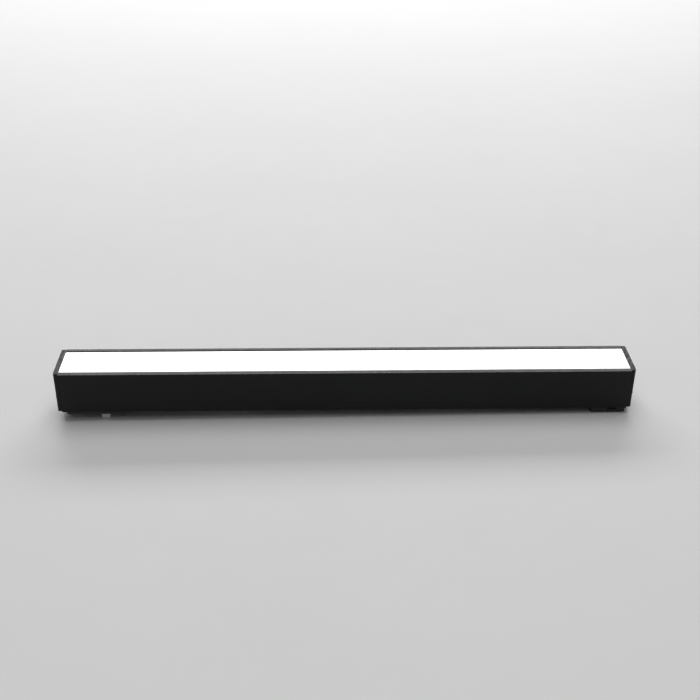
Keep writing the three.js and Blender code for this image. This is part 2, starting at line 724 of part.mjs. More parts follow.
function addContactHead() {
  const group = subAssembly();
  const face = UNDERSIDE - CONTACT_HEAD_DROP;
  const springFoot = CHAMBER_FLOOR + 0.95;
  const springLength = SLEEVE_TOP - springFoot - 0.05;
  add(group, "contact_head", contactHead(), blackPlastic);
  add(group, "contact_head_cover", headCover(CONTACT_HEAD, COVER_Z), blackPlastic);
  for (const [name, y] of [["front", -PIN.y], ["rear", PIN.y]]) {
    add(group, `contact_pin_${name}`, contactPin(), nickel).position.set(PIN.x, y, 0);
    const spring = coilSpring(1.9, SPRING_WIRE, springLength, 4.5);
    add(group, `contact_spring_${name}`, spring, springSteel).position.set(
      PIN.x,
      y,
      springFoot + springLength / 2,
    );
    add(group, `contact_terminal_${name}`, contactTerminal(y), brass);
  }
  CONTACT_HEAD.posts.forEach(([x, y], i) => {
    const name = `contact_head_screw_${["outer", "inner"][i]}`;
    const screw = add(group, name, countersunkScrew(WEB_TOP - face - 0.4), blackScrew);
    screw.position.set(x, y, face + GAP);
  });
}

// ---------------------------------------------------------------- latch head

const LATCH_BODY_TOP = UNDERSIDE + 2.9;
const LATCH_COVER_Z = [LATCH_BODY_TOP + GAP, LATCH_BODY_TOP + 1.2];
const CHANNEL = { inner: 0.6, outer: 10.2, halfWidth: 2.5, floor: RAIL_FLOOR + 0.8 };
const WINDOW_TOP = CHANNEL.floor + 1.8;
const LATCH_SPRING_Z = UNDERSIDE + 0.2;

function latchHead() {
  const { x0, x1 } = LATCH_HEAD;
  const [x, half] = [TAB.x, CHANNEL.halfWidth];
  const pocket = across([x0 + 1.4, x - half - 1.2], 10, [RAIL_FLOOR + 2, 20]);
  const window = TAB.width / 2 + GAP;
  return cut(
    join(
      cut(headBlock(LATCH_HEAD, RAIL_FLOOR, LATCH_BODY_TOP), pocket),
      ...headPosts(LATCH_HEAD, RAIL_FLOOR + 1.5),
    ),
    ...[-1, 1].map((side) =>
      block(
        [x - half, x + half],
        [side * CHANNEL.inner, side * CHANNEL.outer].sort((a, b) => a - b),
        [CHANNEL.floor, 20],
      ),
    ),
    ...[-1, 1].map((side) =>
      block(
        [x - window, x + window],
        [side * (CHANNEL.outer - 1), side * HEAD_WIDTH].sort((a, b) => a - b),
        [CHANNEL.floor, WINDOW_TOP],
      ),
    ),
    across([x + half + 1.2, x1 - 1.4], 10, [RAIL_FLOOR + 2, 20]),
    ...headCountersinks(LATCH_HEAD, RAIL_FLOOR),
  );
}

// One latch tab, drawn on the -Y side: a sprung block with a bevelled nose that stands out of the head.
function latchTab() {
  const back = -CHANNEL.outer + GAP;
  const tip = -HEAD_WIDTH / 2 - TAB.reach;
  const z0 = CHANNEL.floor + GAP;
  const noseTop = z0 + TAB.height;
  const nose = [
    [back + 0.5, z0],
    [tip + TAB.reach, z0],
    [tip, z0 + 0.5],
    [tip, noseTop - TAB.bevel],
    [tip + TAB.bevel, noseTop],
    [back + 0.5, noseTop],
  ];
  const half = CHANNEL.halfWidth - GAP;
  const spigot = new THREE.CylinderGeometry(1, 1, 2, SIDES).translate(0, -3.6, LATCH_SPRING_Z);
  return join(
    block([-half, half], [back, -4], [z0, LATCH_BODY_TOP - 0.2]),
    alongX(nose.reverse(), [-TAB.width / 2, TAB.width / 2]),
    spigot,
  );
}

function addLatchHead() {
  const group = subAssembly();
  add(group, "latch_head", latchHead(), blackPlastic);
  add(group, "latch_head_cover", headCover(LATCH_HEAD, LATCH_COVER_Z), blackPlastic);
  for (const [name, turn] of [["front", 0], ["rear", Math.PI]]) {
    const tab = add(group, `latch_tab_${name}`, latchTab(), blackPlastic);
    tab.position.x = TAB.x;
    tab.rotation.z = turn;
    const springLength = 4 - CHANNEL.inner - 0.1;
    const spring = coilSpring(1.5, SPRING_WIRE, springLength, 4);
    const y = (turn ? 1 : -1) * (CHANNEL.inner + 0.05 + springLength / 2);
    const spun = add(group, `latch_spring_${name}`, spring, springSteel);
    spun.position.set(TAB.x, y, LATCH_SPRING_Z);
    spun.rotation.x = Math.PI / 2;
  }
  LATCH_HEAD.posts.forEach(([x, y], i) => {
    const name = `latch_head_screw_${["front", "rear"][i]}`;
    const screw = add(group, name, countersunkScrew(WEB_TOP - RAIL_FLOOR - 0.4), blackScrew);
    screw.position.set(x, y, RAIL_FLOOR + GAP);
  });
}

// ---------------------------------------------------------------- magnets

// Each magnet sits in a steel cup that is screwed under the back plate.
function addMagnets() {
  const cupTop = UNDERSIDE - 0.05;
  const cupFace = RAIL_FLOOR + 0.15;
  const magnetTop = cupTop - CUP.wall - GAP;
  for (const [name, x] of [["left", -MAGNET_X], ["right", MAGNET_X]]) {
    const group = subAssembly();
    group.position.x = x;
    const pocket = [
      [-MAGNET.length / 2 - GAP, MAGNET.length / 2 + GAP],
      MAGNET.width / 2 + GAP,
      [0, magnetTop + GAP / 2],
    ];
    const plan = roundedPlan([-CUP.length / 2, CUP.length / 2], CUP.width / 2, 0.6);
    const cup = cut(
      raised(plan, [cupFace, cupTop]),
      across(...pocket),
      post(0, 0, SCREW_HOLE, [0, 9]),
    );
    const magnetPlan = roundedPlan([-MAGNET.length / 2, MAGNET.length / 2], MAGNET.width / 2, 0.4);
    const magnet = cut(
      raised(magnetPlan, [RAIL_FLOOR, magnetTop]),
      ...countersink(0, 0, RAIL_FLOOR, 9),
    );
    add(group, `magnet_cup_${name}`, cup, zincSteel);
    add(group, `magnet_${name}`, magnet, nickel);
    const screw = countersunkScrew(PLATE_TOP - RAIL_FLOOR - 0.3);
    add(group, `magnet_screw_${name}`, screw, zincSteel).position.z = RAIL_FLOOR + GAP;
  }
}

// ---------------------------------------------------------------- the whole bar

addBody();
add(bar, "back_plate", backPlate(), blackPaint);
addLightEngine();
addDriver();
addContactHead();
addLatchHead();
addMagnets();
addWires();

export default bar;
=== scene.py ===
import json
import math

import bmesh
import bpy
from mathutils import Matrix, Vector


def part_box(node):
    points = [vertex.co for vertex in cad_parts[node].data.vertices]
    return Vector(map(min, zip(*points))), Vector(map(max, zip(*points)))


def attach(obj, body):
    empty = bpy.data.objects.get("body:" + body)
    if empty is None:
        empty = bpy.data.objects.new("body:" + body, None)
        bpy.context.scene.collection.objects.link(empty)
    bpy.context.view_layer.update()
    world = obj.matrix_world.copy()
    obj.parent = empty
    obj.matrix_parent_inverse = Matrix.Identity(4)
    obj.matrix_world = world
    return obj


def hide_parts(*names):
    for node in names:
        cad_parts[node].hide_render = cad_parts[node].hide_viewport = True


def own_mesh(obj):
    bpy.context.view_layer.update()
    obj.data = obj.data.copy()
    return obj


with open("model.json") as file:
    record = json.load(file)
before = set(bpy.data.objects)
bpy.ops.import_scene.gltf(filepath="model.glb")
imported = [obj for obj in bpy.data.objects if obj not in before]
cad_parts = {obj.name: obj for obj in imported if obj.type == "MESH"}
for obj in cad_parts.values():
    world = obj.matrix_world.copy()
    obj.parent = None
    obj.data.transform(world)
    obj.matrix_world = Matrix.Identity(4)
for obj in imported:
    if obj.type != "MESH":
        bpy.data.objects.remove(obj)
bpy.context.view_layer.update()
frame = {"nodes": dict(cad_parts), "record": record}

MM = 0.001
NODES = frame["nodes"]
BODIES = frame["record"]["behaviour"]["bodies"]
LED_PITCH = 20  # millimetres along the board


def span(node):
    """A CAD node's low and high corner, in millimetres."""
    low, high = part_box(node)
    return low / MM, high / MM


# ------------------------------------------------------------------ shaders


class Shader:
    """A node material under construction. Textures follow the object's own coordinates, in metres."""

    def __init__(self, name, color, roughness, metallic=0.0, **sockets):
        self.material = bpy.data.materials.new(name)
        self.material.use_nodes = True
        self.tree = self.material.node_tree
        self.surface = self.tree.nodes["Principled BSDF"]
        self.place = self.node("ShaderNodeTexCoord").outputs["Object"]
        self.material.diffuse_color = (*color, 1)
        self.set(**{"Base Color": (*color, 1), "Roughness": roughness, "Metallic": metallic})
        self.set(**{key.replace("_", " "): value for key, value in sockets.items()})

    def set(self, **sockets):
        for name, value in sockets.items():
            self.surface.inputs[name].default_value = value

    def node(self, kind, **settings):
        made = self.tree.nodes.new(kind)
        for key, value in settings.items():
            setattr(made, key, value)
        return made

    def feed(self, source, name):
        self.tree.links.new(source, self.surface.inputs[name])

    def stretched(self, scale):
        mapping = self.node("ShaderNodeMapping")
        mapping.inputs["Scale"].default_value = scale
        self.tree.links.new(self.place, mapping.inputs["Vector"])
        return mapping.outputs["Vector"]

    def noise(self, scale, detail=3.0, roughness=0.55, stretch=None):
        made = self.node("ShaderNodeTexNoise")
        made.inputs["Scale"].default_value = scale
        made.inputs["Detail"].default_value = detail
        made.inputs["Roughness"].default_value = roughness
        place = self.stretched(stretch) if stretch else self.place
        self.tree.links.new(place, made.inputs["Vector"])
        return made.outputs["Fac"]

    def cells(self, scale):
        made = self.node("ShaderNodeTexVoronoi")
        made.inputs["Scale"].default_value = scale
        self.tree.links.new(self.place, made.inputs["Vector"])
        return made.outputs["Distance"]

    def sine(self, axis, pitch):
        """A smooth wave from -1 to 1 along one axis, with that pitch in metres."""
        return self.math("SINE", self.math("MULTIPLY", self.along(axis), 2 * math.pi / pitch))

    def along(self, axis):
        """The place along one axis, in metres."""
        split = self.node("ShaderNodeSeparateXYZ")
        self.tree.links.new(self.place, split.inputs[0])
        return split.outputs[axis]

    def math(self, operation, a, b=0.0):
        made = self.node("ShaderNodeMath", operation=operation)
        for value, socket in zip((a, b), made.inputs):
            if isinstance(value, (int, float)):
                socket.default_value = value
            else:
                self.tree.links.new(value, socket)
        return made.outputs[0]

    def between(self, fac, low, high, start=0.3, end=0.7):
        """fac's range from start to end, spread from low to high."""
        made = self.node("ShaderNodeMapRange")
        self.tree.links.new(fac, made.inputs["Value"])
        for name, value in (("From Min", start), ("From Max", end), ("To Min", low), ("To Max", high)):
            made.inputs[name].default_value = value
        return made.outputs["Result"]

    def tint(self, fac, first, second, start=0.3, end=0.7):
        ramp = self.node("ShaderNodeValToRGB")
        ramp.color_ramp.elements[0].position = start
        ramp.color_ramp.elements[0].color = (*first, 1)
        ramp.color_ramp.elements[1].position = end
        ramp.color_ramp.elements[1].color = (*second, 1)
        self.tree.links.new(fac, ramp.inputs["Fac"])
        return ramp.outputs["Color"]

    def color(self, fac, first, second, start=0.3, end=0.7):
        self.feed(self.tint(fac, first, second, start, end), "Base Color")
        return self

    def rough(self, fac, low, high, start=0.3, end=0.7):
        self.feed(self.between(fac, low, high, start, end), "Roughness")
        return self

    def bump(self, *layers):
        """Each layer is (height, depth in millimetres)."""
        normal = None
        for height, depth in layers:
            made = self.node("ShaderNodeBump")
            made.inputs["Strength"].default_value = 1.0
            made.inputs["Distance"].default_value = depth * MM
            self.tree.links.new(height, made.inputs["Height"])
            if normal:
                self.tree.links.new(normal, made.inputs["Normal"])
            normal = made.outputs["Normal"]
        self.feed(normal, "Normal")
        return self


def powder_coat():
    """The smooth black coat of the extruded body."""
    s = Shader("black_powder_coat", (0.0075, 0.0079, 0.0082), 0.42)
    s.set(**{"Specular IOR Level": 0.2})
    s.color(s.noise(45, 5), (0.0062, 0.0066, 0.0070), (0.0092, 0.0096, 0.0098))
    s.rough(s.noise(140, 6, 0.6), 0.3, 0.4)
    s.bump((s.noise(1500, 2), 0.012), (s.cells(5200), 0.006))
    return s.material


def cast_coat():
    """The coarser coat of the die-cast end caps, which dulls what they reflect in small patches."""
    s = Shader("cast_black_coat", (0.008, 0.0084, 0.0087), 0.5)
    s.set(**{"Specular IOR Level": 0.2})
    s.color(s.noise(260, 4), (0.0050, 0.0053, 0.0056), (0.0115, 0.0119, 0.0120))
    s.rough(s.noise(620, 4, 0.65), 0.32, 0.58, 0.4, 0.6)
    s.bump((s.noise(1200, 3, 0.6), 0.03), (s.cells(2600), 0.012))
    return s.material


def painted_highlight_edge():
    """A lighter, glossier black coat that paints a highlight along the body's top edges."""
    s = Shader("painted_highlight_coat", (0.108, 0.109, 0.110), 0.28)
    s.set(**{"Specular IOR Level": 1.0})
    s.color(s.noise(120, 5), (0.094, 0.095, 0.096), (0.132, 0.133, 0.134))
    s.rough(s.noise(300, 4), 0.22, 0.34)
    s.bump((s.noise(1500, 2), 0.008))
    return s.material


def opal_acrylic():
    """The lit cover. Its glow ripples faintly at the diodes' pitch and falls off near its long edges."""
    s = Shader("opal_acrylic", (0.93, 0.93, 0.92), 0.32, Subsurface_Weight=0.6, Subsurface_Scale=0.004)
    s.set(**{"Subsurface Radius": (1.0, 0.95, 0.9), "Specular IOR Level": 0.5})
    ripple = s.math("MULTIPLY", s.sine("X", LED_PITCH * MM), s.sine("Y", LED_PITCH * MM))
    edge = s.math("ABSOLUTE", s.along("Y"))
    fall = s.between(edge, 1.0, 0.8, 0.0092, 0.0103)
    glow = s.math("MULTIPLY", s.between(ripple, 0.90, 0.96, -1, 1), fall)
    s.set(**{"Emission Color": (1.0, 0.985, 0.96, 1)})
    s.feed(glow, "Emission Strength")
    s.rough(s.noise(220, 4), 0.28, 0.36)
    s.bump((s.noise(3800, 2), 0.004))
    return s.material


def moulded(name, color, shade=1.35, roughness=(0.45, 0.6), grain=4200, depth=0.012):
    """A plain material with a fine grain, which lightens in soft patches by the shade."""
    s = Shader(name, color, sum(roughness) / 2)
    light = tuple(min(1, shade * c) for c in color)
    s.color(s.noise(90, 5), color, light)
    s.rough(s.noise(300, 5), *roughness)
    s.bump((s.cells(grain), depth), (s.noise(700, 2), depth))
    return s.material


def plated(name, color, tone, roughness=(0.16, 0.3), scratch=(1, 1, 1), depth=0.003):
    """A metal whose fine scratches run along the axis with the smallest scale."""
    s = Shader(name, color, sum(roughness) / 2, 1.0)
    s.color(s.noise(160, 5), color, tone)
    s.rough(s.noise(900, 6, 0.65, scratch), *roughness)
    s.bump((s.noise(5200, 3, 0.6, scratch), depth))
    return s.material


def drawn_metal(name, color, tone):
    """Satin plate with the fine lines that drawing leaves along Z."""
    s = Shader(name, color, 0.4, 1.0)
    s.color(s.noise(240, 4), color, tone)
    s.rough(s.noise(900, 4, 0.6, (4, 4, 0.2)), 0.34, 0.46)
    s.bump((s.noise(2600, 2, 0.5, (4, 4, 0.15)), 0.004))
    return s.material


def circuit_board(name, mask, light, weave):
    """Solder mask over glass cloth, whose weave is that many millimetres deep."""
    s = Shader(name, mask, 0.35, Coat_Weight=0.4)
    s.set(**{"Coat Roughness": 0.15})
    s.color(s.noise(120, 4), mask, light)
    s.rough(s.noise(500, 4), 0.28, 0.42)
    thread = 0.0011
    cross = s.math("ADD", s.sine("X", thread), s.sine("Y", thread))
    s.bump((s.between(cross, 0, 1, -2, 2), weave))
    return s.material


def sleeve_of(name, color):
    """Silicone insulation with a faint bloom."""
    s = Shader(name, color, 0.45, Specular_IOR_Level=0.4)
    s.color(s.noise(260, 4), color, tuple(min(1, c * 1.5 + 0.004) for c in color))
    s.rough(s.noise(700, 4), 0.38, 0.55)
    s.bump((s.noise(2400, 3), 0.006))
    return s.material


def pale_floor():
    s = Shader("pale_floor", (0.72, 0.72, 0.71), 0.62, Specular_IOR_Level=0.25)
    s.color(s.noise(7, 6), (0.715, 0.715, 0.71), (0.73, 0.73, 0.725))
    s.rough(s.noise(60, 4), 0.6, 0.7)
    s.bump((s.noise(1400, 2), 0.008))
    return s.material


LOOKS = {
    "black_paint": powder_coat(),
    "opal": opal_acrylic(),
    "black_plastic": moulded("black_nylon", (0.010, 0.010, 0.0105), roughness=(0.42, 0.58)),
    "black_screw": plated("black_oxide", (0.05, 0.05, 0.052), (0.075, 0.073, 0.07), (0.28, 0.42)),
    "nickel": plated("nickel_plate", (0.70, 0.68, 0.64), (0.76, 0.73, 0.68), (0.14, 0.26), (0.2, 3, 3)),
    "zinc_steel": plated("zinc_plate", (0.56, 0.58, 0.62), (0.66, 0.66, 0.64), (0.24, 0.4), (0.3, 2, 2)),
    "spring_steel": plated("spring_wire", (0.48, 0.48, 0.49), (0.56, 0.55, 0.53), (0.2, 0.34)),
    "brass": plated("stamped_brass", (0.71, 0.50, 0.20), (0.78, 0.58, 0.28), (0.2, 0.36), (0.3, 3, 3)),
    "white_mask": circuit_board("white_solder_mask", (0.84, 0.84, 0.81), (0.9, 0.9, 0.88), 0.002),
    "white_plastic": moulded("white_nylon", (0.80, 0.80, 0.76), 1.06, (0.36, 0.5), 3600, 0.008),
    "reflector_white": moulded("reflector_sheet", (0.90, 0.90, 0.88), 1.04, (0.5, 0.66), 1900, 0.02),
    "grey_pad": moulded("thermal_pad", (0.22, 0.25, 0.28), 1.2, (0.7, 0.9), 2500, 0.02),
    "green_board": circuit_board("green_solder_mask", (0.010, 0.085, 0.035), (0.016, 0.12, 0.05), 0.006),
    "ferrite": moulded("ferrite", (0.022, 0.023, 0.025), 1.6, (0.5, 0.7), 3000, 0.02),
    "can_sleeve": moulded("shrink_sleeve", (0.012, 0.015, 0.024), 1.3, (0.22, 0.34), 1500, 0.004),
    "chip_black": moulded("chip_epoxy", (0.012, 0.012, 0.012), 1.5, (0.5, 0.68), 6500, 0.008),
    "ceramic": moulded("ceramic", (0.60, 0.52, 0.38), 1.12, (0.4, 0.55), 2800, 0.006),
    "tray_plastic": moulded("tray_plastic", (0.58, 0.59, 0.6), 1.08, (0.4, 0.55), 2600, 0.012),
    "rubber": moulded("grommet_rubber", (0.014, 0.014, 0.014), 1.6, (0.65, 0.85), 2400, 0.02),
    "red_insulation": sleeve_of("red_silicone", (0.32, 0.012, 0.010)),
    "black_insulation": sleeve_of("black_silicone", (0.010, 0.010, 0.011)),
}
CAST_COAT = cast_coat()
# The painted highlight for the body's top edges.
PAINTED_HIGHLIGHT_EDGE = painted_highlight_edge()
SATIN_NICKEL = drawn_metal("satin_nickel", (0.58, 0.57, 0.54), (0.66, 0.65, 0.61))
SOLDER = plated("solder", (0.58, 0.58, 0.57), (0.7, 0.7, 0.69), (0.2, 0.38))
COPPER = plated("bare_copper", (0.70, 0.34, 0.19), (0.82, 0.46, 0.28), (0.2, 0.34))
PHOSPHOR = moulded("phosphor", (0.80, 0.62, 0.10), 1.1, (0.3, 0.42), 5200, 0.006)
CAN_METAL = plated("can_aluminium", (0.66, 0.67, 0.68), (0.74, 0.74, 0.74), (0.2, 0.32))

# ------------------------------------------------------------------ meshes


def mesh_of(verts, faces):
    """Mesh data from points in millimetres."""
    mesh = bpy.data.meshes.new("shape")
    mesh.from_pydata([Vector(v) * MM for v in verts], [], faces)
    return mesh


def joined(*meshes):
    """One mesh that holds all of these. Each may be a (mesh, material index) pair."""
    work = bmesh.new()
    for entry in meshes:
        mesh, index = entry if isinstance(entry, tuple) else (entry, None)
        first = len(work.faces)
        work.from_mesh(mesh)
        work.faces.ensure_lookup_table()
        if index is not None:
            for face in work.faces[first:]:
                face.material_index = index
    out = bpy.data.meshes.new("joined")
    work.to_mesh(out)
    work.free()
    return out


def moved(mesh, offset=(0, 0, 0), turn=None):
    """A copy, turned and then moved by millimetres."""
    out = mesh.copy()
    out.transform(Matrix.Translation(Vector(offset) * MM) @ (turn or Matrix()))
    return out


def turn_about(axis, degrees):
    return Matrix.Rotation(math.radians(degrees), 4, axis)


def block(x, y, z):
    """A box from its low to its high value along each axis."""
    verts = [(a, b, c) for a in x for b in y for c in z]
    faces = [(0, 1, 3, 2), (4, 6, 7, 5), (0, 4, 5, 1), (2, 3, 7, 6), (0, 2, 6, 4), (1, 5, 7, 3)]
    return mesh_of(verts, faces)


def brick(centre, size):
    return block(*[(c - s / 2, c + s / 2) for c, s in zip(centre, size)])


def lathe(profile, sides=48):
    """A profile of (radius, height) points turned about Z. It closes on the axis or on itself."""
    verts, rings = [], []
    for radius, z in profile:
        count = 1 if radius == 0 else sides
        rings.append([len(verts) + i % count for i in range(sides)])
        for i in range(count):
            angle = 2 * math.pi * i / sides
            verts.append((radius * math.cos(angle), radius * math.sin(angle), z))
    pairs = list(zip(rings, rings[1:]))
    if profile[0][0] and profile[-1][0]:
        pairs.append((rings[-1], rings[0]))
    faces = []
    for low, high in pairs:
        for i in range(sides):
            j = (i + 1) % sides
            corners = [low[i], low[j], high[j], high[i]]
            face = [c for k, c in enumerate(corners) if c not in corners[:k]]
            if len(face) > 2:
                faces.append(face)
    return mesh_of(verts, faces)


def fillet(points, steps=5):
    """A closed outline whose corners, given as (a, b, radius), are rounded."""
    out = []
    for i, (a, b, radius) in enumerate(points):
        corner = Vector((a, b))
        if not radius:
            out.append(corner)
            continue
        before = (Vector(points[i - 1][:2]) - corner).normalized()
        after = (Vector(points[(i + 1) % len(points)][:2]) - corner).normalized()
        half = before.angle(after) / 2
        centre = corner + (before + after).normalized() * radius / math.sin(half)
        start = corner + before * radius / math.tan(half) - centre
        sweep = math.pi - 2 * half
        if before.x * after.y - before.y * after.x > 0:
            sweep = -sweep
        for k in range(steps + 1):
            angle = sweep * k / steps
            spun = Vector(
                (
                    start.x * math.cos(angle) - start.y * math.sin(angle),
                    start.x * math.sin(angle) + start.y * math.cos(angle),
                )
            )
            out.append(centre + spun)
    return out


def prism(outline, low, high, axis="X"):
    """An outline drawn out along an axis. It lies in the other two axes, in cyclic order."""
    order = {"X": (2, 0, 1), "Y": (1, 2, 0), "Z": (0, 1, 2)}[axis]
    verts = [tuple((a, b, h)[i] for i in order) for h in (low, high) for a, b in outline]
    n = len(outline)
    sides = [(i, (i + 1) % n, n + (i + 1) % n, n + i) for i in range(n)]
    return mesh_of(verts, [*sides, tuple(range(n))[::-1], tuple(range(n, 2 * n))])


def mirrored(half):
    """A closed outline from its half with a >= 0, which starts and ends on the middle line."""
    return [*half, *[(-a, b, r) for a, b, r in reversed(half[1:-1])]]


def tube(points, radius, sides=16):
    """A round wire through points that are already close together."""
    points = [Vector(p) for p in points]
    verts, faces = [], []
    tangent = (points[1] - points[0]).normalized()
    side = tangent.orthogonal().normalized()
    for i, point in enumerate(points):
        ahead = points[min(i + 1, len(points) - 1)] - points[max(i - 1, 0)]
        new = ahead.normalized()
        side = (side - new * side.dot(new)).normalized()
        other = new.cross(side)
        for k in range(sides):
            angle = 2 * math.pi * k / sides
            verts.append(point + (side * math.cos(angle) + other * math.sin(angle)) * radius)
    for i in range(len(points) - 1):
        for k in range(sides):
            a, b = i * sides + k, i * sides + (k + 1) % sides
            faces.append((a, b, b + sides, a + sides))
    last = (len(points) - 1) * sides
    faces.append(tuple(range(sides))[::-1])
    faces.append(tuple(range(last, last + sides)))
    return mesh_of(verts, faces)


def through(points, steps):
    """A smooth curve through the points."""
    points = [Vector(p) for p in points]
    padded = [2 * points[0] - points[1], *points, 2 * points[-1] - points[-2]]
    out = []
    for i in range(1, len(padded) - 2):
        p0, p1, p2, p3 = padded[i - 1 : i + 3]
        for k in range(steps):
            t = k / steps
            ease = (2 * p0 - 5 * p1 + 4 * p2 - p3) * t * t + (3 * p1 - p0 - 3 * p2 + p3) * t**3
            out.append((2 * p1 + (p2 - p0) * t + ease) / 2)
    return [*out, points[-1]]


def carved(mesh, *tools):
    """The mesh with the tools cut out of it."""
    base = bpy.data.objects.new("base", mesh)
    bpy.context.scene.collection.objects.link(base)
    cutters = []
    for tool in tools:
        cutter = bpy.data.objects.new("cutter", tool)
        bpy.context.scene.collection.objects.link(cutter)
        cutters.append(cutter)
        cut = base.modifiers.new("cut", "BOOLEAN")
        cut.object = cutter
        cut.operation = "DIFFERENCE"
        cut.solver = "EXACT"
    graph = bpy.context.evaluated_depsgraph_get()
    out = bpy.data.meshes.new_from_object(base.evaluated_get(graph))
    for made in (base, *cutters):
        bpy.data.objects.remove(made)
    return out


def cleaned(mesh):
    """The mesh with its loose seams welded and its flat areas made whole again."""
    work = bmesh.new()
    work.from_mesh(mesh)
    bmesh.ops.remove_doubles(work, verts=work.verts, dist=2e-6)
    bmesh.ops.dissolve_limit(
        work, angle_limit=math.radians(0.5), verts=work.verts, edges=work.edges, delimit=set()
    )
    bmesh.ops.recalc_face_normals(work, faces=work.faces)
    out = bpy.data.meshes.new("cleaned")
    work.to_mesh(out)
    work.free()
    return out


def outward(mesh):
    """Turns the faces of every closed part of the mesh outwards."""
    work = bmesh.new()
    work.from_mesh(mesh)
    bmesh.ops.recalc_face_normals(work, faces=work.faces)
    work.to_mesh(mesh)
    work.free()


def piece(name, mesh, material, slot, replaces=(), body="bar", bevel=0.0, segments=2, smooth=40):
    """Puts a finished piece in the scene, on its body and in place of its CAD nodes."""
    for looks in material if isinstance(material, (list, tuple)) else [material]:
        mesh.materials.append(looks)
    outward(mesh)
    mesh.polygons.foreach_set("use_smooth", [True] * len(mesh.polygons))
    mesh.set_sharp_from_angle(angle=math.radians(smooth))
    made = bpy.data.objects.new(name, mesh)
    bpy.context.scene.collection.objects.link(made)
    if bevel:
        soft = made.modifiers.new("soft_edges", "BEVEL")
        soft.width = bevel * MM
        soft.segments = segments
        soft.limit_method = "ANGLE"
        soft.angle_limit = math.radians(smooth)
        soft.harden_normals = True
        soft.use_clamp_overlap = True
    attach(made, body)
    if replaces:
        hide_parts(*replaces)
    return made


def refined(node, slot, bevel, extra=(), material=None, **settings):
    """A CAD node's own shape with its edges softened, and any extra detail joined to it."""
    mesh = cleaned(NODES[node].data)
    if extra:
        mesh = joined(mesh, *extra)
    body = next(b for b, members in BODIES.items() if node in members)
    piece(f"{node}_finished", mesh, material or LOOKS[slot], slot, [node], body, bevel, **settings)


# ------------------------------------------------------------------ body

HALF_WIDTH = 13.0
INNER = 11.6  # from the middle to a wall's inner face
RIM = 10.4  # from the middle to the lip round the diffuser
LIP = 2.0  # the lip's thickness
EDGE_RADIUS = 0.35  # of the body's two top edges
UNDERSIDE, TOP = span("housing")[0].z, span("housing")[1].z
WEB_BOTTOM, WEB_TOP = UNDERSIDE + 11.3, UNDERSIDE + 12.9


def build_housing():
    """The extruded body, whose top edges carry a painted highlight in a lighter coat."""
    low, high = span("housing")
    reach = (low.x, high.x)
    foot_edge, foot = 10.2, UNDERSIDE + 1.2
    wall = [
        (0, WEB_TOP, 0),
        (INNER, WEB_TOP, 0.3),
        (INNER, TOP - LIP, 0.15),
        (RIM, TOP - LIP, 0.15),
        (RIM, TOP, 0.15),
        (HALF_WIDTH, TOP, EDGE_RADIUS),
        (HALF_WIDTH, UNDERSIDE, 0.45),
        (INNER, UNDERSIDE, 0.15),
        (INNER, WEB_BOTTOM, 0.3),
        (0, WEB_BOTTOM, 0),
    ]
    parts = [prism(fillet(mirrored(wall)), *reach)]
    # The walls have inward feet, between the two heads only.
    feet = (span("contact_head")[1].x + 0.4, span("latch_head")[0].x - 0.3)
    for side in (-1, 1):
        edge = [
            (side * (INNER + 0.2), UNDERSIDE, 0),
            (side * foot_edge, UNDERSIDE, 0.2),
            (side * foot_edge, foot, 0.2),
            (side * (INNER + 0.2), foot, 0),
        ]
        parts.append(prism(fillet(edge[::side]), *feet))
        parts.append(prism(screw_port(side), *reach))
    mesh = joined(*parts)
    # Faces along the two top edges take the lighter coat that paints their highlight.
    for face in mesh.polygons:
        middle = face.center / MM
        if middle.z > TOP - EDGE_RADIUS and HALF_WIDTH - EDGE_RADIUS < abs(middle.y) < HALF_WIDTH:
            face.material_index = 1
    piece("housing_body", mesh, [LOOKS["black_paint"], PAINTED_HIGHLIGHT_EDGE], "black_paint", ["housing"])


def screw_port(side):
    """The C of a screw port, open downwards, under the web and against the wall."""
    y, z = side * 9.5, WEB_BOTTOM - 2.1
    outer, bore, half_slot = 2.2, 1.35, 0.45
    steps = 26

    def arc(radius):
        gap = math.asin(half_slot / radius)
        start, end = -math.pi / 2 + gap, 1.5 * math.pi - gap
        return [
            (
                y + radius * math.cos(start + (end - start) * i / steps),
                z + radius * math.sin(start + (end - start) * i / steps),
            )
            for i in range(steps + 1)
        ]

    return arc(outer) + arc(bore)[::-1]


def build_diffuser():
    """The cover: a flat face between two legs, with barbs that catch under the body's lip."""
    low, high = span("diffuser")
    face, room = high.z, 0.15
    barb, leg_tip, leg_inner, thickness = INNER - room, face - 3.35, 9.1, 1.4
    half = [
        (0, face, 0),
        (RIM - room, face, 0.35),
        (RIM - room, TOP - LIP - room, 0.1),
        (barb, TOP - LIP - room, 0.1),
        (barb, TOP - LIP - 0.7, 0),
        (10.6, leg_tip, 0.2),
        (leg_inner, leg_tip, 0.2),
        (leg_inner, face - thickness, 0.4),
        (0, face - thickness, 0),
    ]
    mesh = prism(fillet(mirrored(half)), low.x, high.x)
    piece("diffuser_cover", mesh, LOOKS["opal"], "opal", ["diffuser"])


CORNERS = ((-1, -1), (1, -1), (1, 1), (-1, 1))  # of a rectangle, in turn


def cross_cutter(width, depth, reach):
    """The tapered cross of a screwdriver's tip, sunk from z 0 to depth."""
    verts = []
    for z, taper in ((-0.5, 1.1), (depth, 0.45)):
        verts += [(a * reach * taper, b * width / 2, z) for a, b in CORNERS]
    faces = [(3, 2, 1, 0), (4, 5, 6, 7), (0, 1, 5, 4), (1, 2, 6, 5), (2, 3, 7, 6), (3, 0, 4, 7)]
    return [moved(mesh_of(verts, faces), turn=turn_about("Z", degrees)) for degrees in (0, 90)]


def threaded(shank, start, end):
    """The profile of a threaded shank as close rings, from start to end."""
    pitch, depth = 0.5, 0.18
    out, z = [], start
    while z + pitch < end:
        out += [(shank, z), (shank - depth, z + pitch * 0.45)]
        z += pitch
    return out + [(shank, z)]


